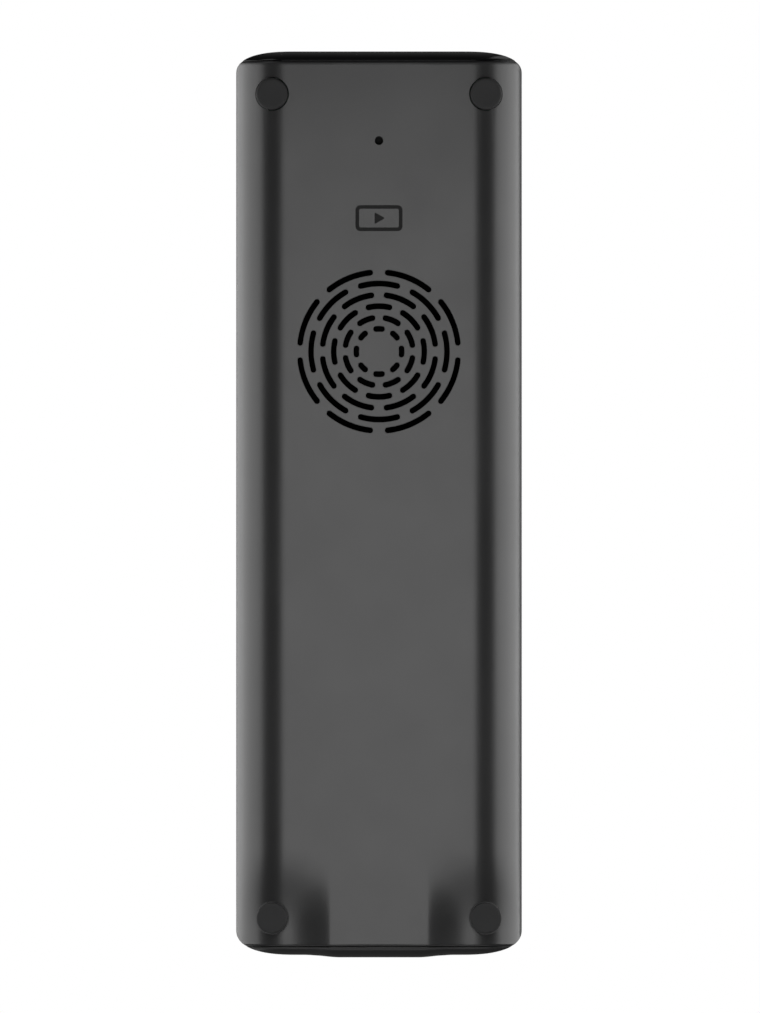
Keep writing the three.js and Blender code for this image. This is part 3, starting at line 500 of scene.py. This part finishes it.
def moulded(name, colour, roughness, grain=0.35, depth=0.004, vary=0.12, specular=0.5, metallic=0.0,
            marks=0.04):
    """A moulded or plated surface: a fine grain, a slow change of tone and faint handling marks.

    grain is the size of the texture and depth its height, both in millimetres. vary is how far the
    tone goes each way, as a share, and marks how far the handling marks move the roughness in all.
    """
    material, nodes, links, shader = new_material(name)
    shader.inputs["Metallic"].default_value = metallic
    shader.inputs["Specular IOR Level"].default_value = specular
    broad = noise_node(nodes, links, TONE_SCALE, 3.0)
    fine = noise_node(nodes, links, 1 / (grain * MM), 2.0)
    mix = nodes.new("ShaderNodeMix")
    mix.data_type = "RGBA"
    mix.inputs["A"].default_value = (*[c * (1 - vary) for c in colour], 1)
    mix.inputs["B"].default_value = (*[min(1, c * (1 + vary)) for c in colour], 1)
    links.new(span(nodes, links, broad.outputs["Fac"], 0, 1), mix.inputs["Factor"])
    links.new(mix.outputs["Result"], shader.inputs["Base Color"])
    both = nodes.new("ShaderNodeMath")
    both.operation = "ADD"
    grained = span(nodes, links, fine.outputs["Fac"], roughness - GRAIN_GLOSS, roughness + GRAIN_GLOSS)
    links.new(grained, both.inputs[0])
    smudge = noise_node(nodes, links, SMUDGE_SCALE, 5.0, 0.65)
    links.new(span(nodes, links, smudge.outputs["Fac"], -marks / 2, marks / 2), both.inputs[1])
    links.new(both.outputs["Value"], shader.inputs["Roughness"])
    bump = nodes.new("ShaderNodeBump")
    bump.inputs["Strength"].default_value = 1.0
    bump.inputs["Distance"].default_value = depth * MM
    links.new(fine.outputs["Fac"], bump.inputs["Height"])
    links.new(bump.outputs["Normal"], shader.inputs["Normal"])
    return material


MATERIALS = {
    "case_plastic": moulded("case_plastic", (0.021, 0.021, 0.0213), 0.32, grain=0.3, depth=0.004),
    "window_plastic": moulded("window_plastic", (0.002, 0.002, 0.0022), 0.16, depth=0.0005, vary=0.05,
                              specular=0.3),
    "foot_rubber": moulded("foot_rubber", (0.032, 0.032, 0.0325), 0.72, grain=0.2, depth=0.01,
                           specular=0.3),
    "screw_steel": moulded("screw_steel", (0.5, 0.5, 0.51), 0.3, metallic=1.0),
    "board_laminate": moulded("board_laminate", (0.012, 0.06, 0.03), 0.4, grain=0.6),
    "chip_plastic": moulded("chip_plastic", (0.02, 0.02, 0.021), 0.55, grain=0.15),
    "plated_metal": moulded("plated_metal", (0.6, 0.6, 0.61), 0.28, metallic=1.0, depth=0.001),
    # socket_plastic is a black plastic of its own, made darker still as painted shade for the reset
    # plunger deep in the pinhole.
    "socket_plastic": moulded("socket_plastic", (0.006, 0.006, 0.0063), 0.6, specular=0.2),
    "contact_brass": moulded("contact_brass", (0.72, 0.53, 0.25), 0.28, metallic=1.0, depth=0.001),
    "sink_aluminium": moulded("sink_aluminium", (0.62, 0.63, 0.64), 0.38, metallic=1.0, grain=0.1),
    "white_nylon": moulded("white_nylon", (0.62, 0.61, 0.56), 0.5),
    "pad_rubber": moulded("pad_rubber", (0.3, 0.42, 0.55), 0.8),
    "button_plastic": moulded("button_plastic", (0.03, 0.03, 0.0305), 0.32, grain=0.25, depth=0.003),
    # fan_plastic is a black plastic, turned down to near black with almost no reflection as painted
    # shade for the fan seen through the vent slots.
    "fan_plastic": moulded("fan_plastic", (0.003, 0.003, 0.003), 0.9, specular=0.02),
    "ferrite": moulded("ferrite", (0.03, 0.03, 0.032), 0.7, grain=0.2, depth=0.01),
    "winding": moulded("winding", (0.35, 0.12, 0.04), 0.35, grain=0.25, depth=0.02),
    "lead_sleeve": moulded("lead_sleeve", (0.008, 0.008, 0.008), 0.5),
    "aerial_foil": moulded("aerial_foil", (0.4, 0.24, 0.07), 0.4),
    "lens_plastic": moulded("lens_plastic", (0.02, 0.01, 0.014), 0.12, depth=0.0005),
    "light_plastic": moulded("light_plastic", (0.75, 0.78, 0.8), 0.3),
}
# Painted shade: a reflection-free black, far darker than the case plastic, for the shells' inner faces,
# standing in for the shade inside the closed case.
INSIDE_SHADE = moulded("inside_painted_shade", (0.002, 0.002, 0.002), 0.95, specular=0.0)
INK = moulded("printed_ink", (0.011, 0.011, 0.011), 0.62, specular=0.25)


def piece(ob, slot, *nodes, body="case"):
    """Gives a finished mesh its material and its body, and hides the CAD nodes that it stands for."""
    ob.data.materials.clear()
    ob.data.materials.append(MATERIALS[slot])
    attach(ob, body)
    if nodes:
        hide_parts(*nodes)
    return ob


# ---- Case pieces --------------------------------------------------------------------------------


def frame_cutter(name, outer, inner, low, high):
    """The band between two outlines of equal length as a solid."""
    count = len(outer)
    points = [(x, y, z) for z in (low, high) for outline in (outer, inner) for x, y in outline]
    bottom_out, bottom_in, top_out, top_in = 0, count, 2 * count, 3 * count
    faces = []
    for i in range(count):
        j = (i + 1) % count
        faces.append((bottom_out + i, bottom_out + j, top_out + j, top_out + i))
        faces.append((bottom_in + i, bottom_in + j, top_in + j, top_in + i))
        faces.append((bottom_out + i, bottom_out + j, bottom_in + j, bottom_in + i))
        faces.append((top_out + i, top_out + j, top_in + j, top_in + i))
    return mesh_object(name, points, faces)


def rounded_triangle(x, y, size, radius):
    """A triangle pointing to +X with rounded corners, size from its centre to each corner."""
    points = []
    for k in range(3):
        angle = 120 * k
        cx = x + (size - 2 * radius) * math.cos(math.radians(angle))
        cy = y + (size - 2 * radius) * math.sin(math.radians(angle))
        points += arc(cx, cy, radius, angle - 60, angle + 60, 6)
    return points


MARK_BELOW = 0.5  # the mark's cutters start this far under the underside


def mark_cutters():
    """A generic picture of a screen with a play arrow, sunk into the underside."""
    low, high = UNDER_Z - MARK_BELOW, UNDER_Z + MARK["deep"]
    y, width, height, stroke = MARK["y"], MARK["width"], MARK["height"], MARK["stroke"]
    outer = rounded_outline(0, y, width, height, MARK_CORNERS["outer"])
    inner = rounded_outline(0, y, width - 2 * stroke, height - 2 * stroke, MARK_CORNERS["inner"])
    arrow = rounded_triangle(ARROW["x"], y, ARROW["size"], ARROW["corner"])
    arrow_loops = [[(x, y, z) for x, y in arrow] for z in (low, high)]
    return [frame_cutter("screen_cutter", outer, inner, low, high), lofts("arrow_cutter", [arrow_loops])]


INK_MARGIN = 0.1
INK_LOW, INK_HIGH = 0.02, 0.2  # heights over the underside between which faces are inked


def ink_mark(ob):
    """Paints the sunken faces of the mark."""
    ob.data.materials.append(INK)
    half = MARK["width"] / 2 + INK_MARGIN
    for polygon in ob.data.polygons:
        spot = polygon.center / MM
        in_plan = abs(spot.x) < half and abs(spot.y - MARK["y"]) < half
        if in_plan and UNDER_Z + INK_LOW < spot.z < UNDER_Z + INK_HIGH:
            polygon.material_index = 1


# Edges sharper than these angles, in degrees, stay crisp.
SHELL_CREASE = 24  # keeps the mouths of the openings from shading the flats between them
WINDOW_CREASE = 50
PIECE_CREASE = 40
FEET = [f"foot_{end}_{side}" for end in ("front", "rear") for side in ("left", "right")]


def bottom_shell():
    ob = shell("bottom_shell_fine", -1)
    radius, deep = FOOT_POCKET["radius"], FOOT_POCKET["deep"]
    centres = [middle_mm(node) for node in FEET]
    pockets = [round_cutter("pocket", c.x, c.y, radius, UNDER_Z, deep, flare=False) for c in centres]
    pinhole = round_cutter("pinhole", PINHOLE.x, PINHOLE.y, PINHOLE_RADIUS, UNDER_Z, PINHOLE_DEEP)
    carve(ob, vent_cutter(), *pockets, *mark_cutters(), pinhole)
    piece(ob, "case_plastic", "bottom_shell")
    ink_mark(ob)
    paint_inside_shade(ob, -1)
    return smooth(ob, SHELL_CREASE)


INSIDE_FACING = 0.3  # how squarely an inner face looks at the middle plane, at least
INSIDE_START = 2  # how far from the middle plane the dull inner faces start


def paint_inside_shade(ob, side):
    """Gives the shell's inner faces, seen only through its openings, painted shade: a black without
    reflection, far darker than the case plastic, standing in for the shade inside the case.
    """
    ob.data.materials.append(INSIDE_SHADE)
    last = len(ob.data.materials) - 1
    for polygon in ob.data.polygons:
        offset = side * (polygon.center.z / MM - MID_Z)
        facing_in = side * polygon.normal.z < -INSIDE_FACING
        if facing_in and INSIDE_START < offset < HALF_DEPTH - WALL / 2:
            polygon.material_index = last


def top_shell():
    ob = shell("top_shell_fine", 1)
    levels = [(grow, -deep) for grow, deep in MOUTH]
    loops = []
    for grow, level in levels:
        outline = arc(BUTTON.x, BUTTON.y, BUTTON_HOLE + grow, 0, 360, 72)[:-1]
        loops.append([(x, y, TOP_Z + level) for x, y in outline])
    carve(ob, exhaust_cutter(), lofts("button_hole", [loops]))
    piece(ob, "case_plastic", "top_shell")
    paint_inside_shade(ob, 1)
    return smooth(ob, SHELL_CREASE)


CAP_STEPS = 14


def lip_share(x):
    """How much of the rear land's lip the end has at x, fading smoothly on each side."""
    return 1 - smooth_step((abs(x) - LIP_HALF) / LIP_RAMP)


def cap_loops(side):
    """Loops of a cap from its seam to its end face, softened at the seam."""
    end_y, seam_y = (FRONT_Y, FRONT_SEAM_Y) if side < 0 else (REAR_Y, REAR_SEAM_Y)
    deep = abs(end_y - seam_y)
    lip = 0 if side < 0 else REAR_LIP

    def loop(distance, inset):
        y = end_y - side * distance
        lower, upper = mirrored(quarter(y, inset, -1, 0)), mirrored(quarter(y, inset, 1, 0))
        ring = lower + upper[::-1][1:-1]
        moved = 1 - distance / deep
        return [(x, yy + side * lip * lip_share(x) * moved, z) for x, yy, z in ring]

    soft = [loop(deep - CAP_SOFT * (1 - math.cos(a)), CAP_SOFT * (1 - math.sin(a)))
            for a in quarter_turn(3)]
    shares = [math.cos(math.pi / 2 * i / CAP_STEPS) ** 2 for i in range(1, CAP_STEPS + 1)]
    return soft + [loop((deep - CAP_SOFT) * share, 0) for share in shares]


def front_cap():
    ob = lofts("front_cap_fine", [cap_loops(-1)])
    piece(ob, "window_plastic", "front_cap")
    return smooth(ob, WINDOW_CREASE)


# ---- Sockets ------------------------------------------------------------------------------------

VIDEO_LOW, VIDEO_HIGH = box_mm("video_socket")
POWER_JACK = box_mm("power_socket")
AUDIO_JACK = box_mm("audio_socket")


def video_outline(inset):
    """The video socket's outline in x and z: square above, with cut corners below, all softened."""
    w = VIDEO_HIGH.x - inset
    low, high = VIDEO_LOW.z + inset, VIDEO_HIGH.z - inset
    cut, soft = SOCKET_SHAPE["cut"], SOCKET_SHAPE["soft"]
    long, short = SOCKET_SHAPE["corner_long"], SOCKET_SHAPE["corner_short"]
    points = arc(w - soft, high - soft, soft, 0, 90, 4)
    points += arc(-w + soft, high - soft, soft, 90, 180, 4)
    points += [(-w, low + cut + long), (-w + short, low + cut)]
    points += [(-w + cut, low + short), (-w + cut + long, low)]
    points += [(w - cut - long, low), (w - cut, low + short)]
    points += [(w - short, low + cut), (w, low + cut + long)]
    return points


def along_y(outline, y):
    """An outline drawn in x and z, put at y."""
    return [(x, y, z) for x, z in outline]


CUT_BEFORE, CUT_BEYOND = 2, 3  # how far the socket openings' cutters run past the rear cap


def rear_cap():
    ob = lofts("rear_cap_fine", [cap_loops(1)])
    ends = (REAR_SEAM_Y - CUT_BEFORE, REAR_Y + CUT_BEYOND)
    video = lofts("video_cutter", [[along_y(video_outline(-SEAM_GAP), y) for y in ends]])
    jacks = []
    for low, high in (POWER_JACK, AUDIO_JACK):
        x, z = (low.x + high.x) / 2, (low.z + high.z) / 2
        outline = arc(x, z, JACK_SNOUT + SEAM_GAP, 0, 360, 48)[:-1]
        jacks.append(lofts("jack_cutter", [[along_y(outline, y) for y in ends]]))
    carve(ob, video, *jacks)
    piece(ob, "case_plastic", "rear_cap")
    return smooth(ob, PIECE_CREASE)


def foot(node):
    """A plug foot with a softened edge and a very shallow dish."""
    low, high = box_mm(node)
    radius, edge = (high.x - low.x) / 2, FOOT_SHAPE["edge"]
    rim = [(radius - edge + edge * math.sin(a), low.z + edge - edge * math.cos(a))
           for a in quarter_turn(5)]
    dish = low.z + FOOT_SHAPE["dish"]
    profile = [(0, dish), (radius - FOOT_SHAPE["dish_floor"], dish),
               (radius - FOOT_SHAPE["dish_rim"], low.z), *rim, (radius, high.z), (0, high.z)]
    centre = middle_mm(node)
    ob = turned(f"{node}_fine", profile, centre.x, centre.y)
    piece(ob, "foot_rubber", node)
    return smooth(ob, PIECE_CREASE)


DISH_RADII = (3.4, 3.0, 2.5, 2.0, 1.4, 0.7, 0)


def power_button():
    """A round button with a flange under the top shell and a shallow dish in its face."""
    low, high = box_mm("power_button")
    flange, radius, stem = (high.x - low.x) / 2, BUTTON_SHAPE["radius"], BUTTON_SHAPE["stem"]
    shelf = TOP_Z - WALL - BUTTON_SHAPE["play"]
    under = shelf - BUTTON_SHAPE["flange"]
    face, edge = high.z, BUTTON_SHAPE["edge"]
    rim = [(radius - edge + edge * math.cos(a), face - edge + edge * math.sin(a))
           for a in quarter_turn(4)]
    dish = [(r, face - BUTTON_SHAPE["dish"] * (1 - (r / DISH_RADII[0]) ** 2)) for r in DISH_RADII]
    profile = [(0, low.z), (stem, low.z), (stem, under), (flange, under), (flange, shelf),
               (radius, shelf), *rim, *dish]
    ob = turned("power_button_fine", profile, BUTTON.x, BUTTON.y, 96)
    piece(ob, "button_plastic", "power_button", body="power")
    return smooth(ob, PIECE_CREASE)


bottom_shell()
top_shell()
front_cap()
rear_cap()
for name in FEET:
    foot(name)
power_button()

# ---- Finishes of the CAD nodes that stay --------------------------------------------------------

SLOTS = {row["node"]: row["material_slot"] for row in frame["record"]["subparts"]}
for name, node in frame["nodes"].items():
    if not node.hide_render:
        node.data.materials.clear()
        node.data.materials.append(MATERIALS[SLOTS[name]])

# ---- Stage, light and camera --------------------------------------------------------------------


FLOOR_Z = -0.0003  # metres
WHITE = (1, 1, 1, 1)
DIM_GREY = (0.08, 0.08, 0.08, 1)


def floor():
    """A plain pale floor just under the feet, which shades and tints nothing."""
    bpy.ops.mesh.primitive_plane_add(size=8, location=(0, 0, FLOOR_Z))
    ob = bpy.context.object
    ob.name = "floor"
    ob.data.materials.append(moulded("floor", (0.8, 0.8, 0.8), 0.9, grain=1.5, depth=0.002, vary=0.012))
    ob.visible_shadow = False
    ob.visible_glossy = False
    ob.visible_diffuse = False
    return ob


def without(ob):
    """A collection that makes a light shine on everything but this object."""
    made = bpy.data.collections.new("unlit_by_soft_boxes")
    made.objects.link(ob)
    made.collection_objects[0].light_linking.link_state = "EXCLUDE"
    return made


def area_light(name, place, target, width, height, radiance):
    """A soft box in metres that faces its target. No camera sees it, and it doesn't light the floor."""
    data = bpy.data.lights.new(name, "AREA")
    data.shape = "RECTANGLE"
    data.size, data.size_y = width, height
    data.energy = radiance * math.pi * width * height
    ob = bpy.data.objects.new(name, data)
    bpy.context.scene.collection.objects.link(ob)
    ob.location = place
    ob.rotation_mode = "QUATERNION"
    ob.rotation_quaternion = (Vector(target) - Vector(place)).to_track_quat("-Z", "Y")
    ob.visible_camera = False
    ob.light_linking.receiver_collection = ALL_BUT_FLOOR


def sun_light(name, rotation, strength, softness):
    """Even light from above, which shows in no reflection."""
    data = bpy.data.lights.new(name, "SUN")
    data.energy = strength
    data.angle = softness
    ob = bpy.data.objects.new(name, data)
    bpy.context.scene.collection.objects.link(ob)
    ob.rotation_euler = rotation
    ob.visible_glossy = False


def world():
    """White to the camera and a dim grey to everything else."""
    made = bpy.data.worlds.new("studio")
    bpy.context.scene.world = made
    made.use_nodes = True
    nodes, links = made.node_tree.nodes, made.node_tree.links
    background = nodes["Background"]
    path = nodes.new("ShaderNodeLightPath")
    mix = nodes.new("ShaderNodeMix")
    mix.data_type = "RGBA"
    mix.inputs["A"].default_value = DIM_GREY
    mix.inputs["B"].default_value = WHITE
    links.new(path.outputs["Is Camera Ray"], mix.inputs["Factor"])
    links.new(mix.outputs["Result"], background.inputs["Color"])


VIEW_HEIGHT = 168.48  # millimetres of the middle plane, from the picture's top to its bottom
VIEW_MIDDLE = (0.00017, 0.00035)  # metres
CLIP_UNDER = 0.1  # the view starts this many millimetres under the feet, above the floor


def camera():
    """Square on to the underside, front end up, with a long lens."""
    data = bpy.data.cameras.new("camera")
    data.lens = 800
    data.sensor_width = 36
    ob = bpy.data.objects.new("camera", data)
    bpy.context.scene.collection.objects.link(ob)
    distance = VIEW_HEIGHT * MM * data.lens / data.sensor_width
    ob.location = (*VIEW_MIDDLE, MID_Z * MM - distance)
    ob.rotation_euler = (math.pi, 0, 0)
    data.clip_start = distance - (MID_Z + CLIP_UNDER) * MM
    data.clip_end = 20
    bpy.context.scene.camera = ob


ALL_BUT_FLOOR = without(floor())
world()
camera()
area_light("under_box", place=(0, 0.022, -0.25), target=(0, 0.022, 0),
           width=0.14, height=0.215, radiance=2.8)
area_light("left_low_box", place=(-0.4, 0.005, 0.08), target=(0, 0.005, 0.08),
           width=0.26, height=0.59, radiance=2.55)
area_light("left_high_box", place=(-0.4, 0.005, 0.69), target=(0, 0.005, 0.69),
           width=0.26, height=0.62, radiance=1.5)
area_light("right_low_box", place=(0.4, 0.005, -0.033), target=(0, 0.005, -0.033),
           width=0.26, height=0.385, radiance=2.85)
area_light("right_high_box", place=(0.4, 0.005, 0.33), target=(0, 0.005, 0.33),
           width=0.26, height=0.34, radiance=2.2)
area_light("rear_box", place=(0, 0.6, -0.11), target=(0, 0, -0.11),
           width=0.5, height=0.2, radiance=0.9)
area_light("rear_left_box", place=(-0.6, 0.7, 0.4), target=(0, 0, 0),
           width=0.7, height=0.5, radiance=1.0)
area_light("front_right_box", place=(0.6, -0.7, 0.3), target=(0, 0, 0),
           width=0.7, height=0.5, radiance=1.0)
area_light("window_box", place=(-0.16, -0.26, -0.09), target=(0, -0.075, 0.01),
           width=0.13, height=0.09, radiance=1.2)
sun_light("sun", rotation=(math.radians(30), math.radians(12), 0), strength=4.0,
          softness=math.radians(50))
bpy.context.scene.view_settings.view_transform = "Standard"
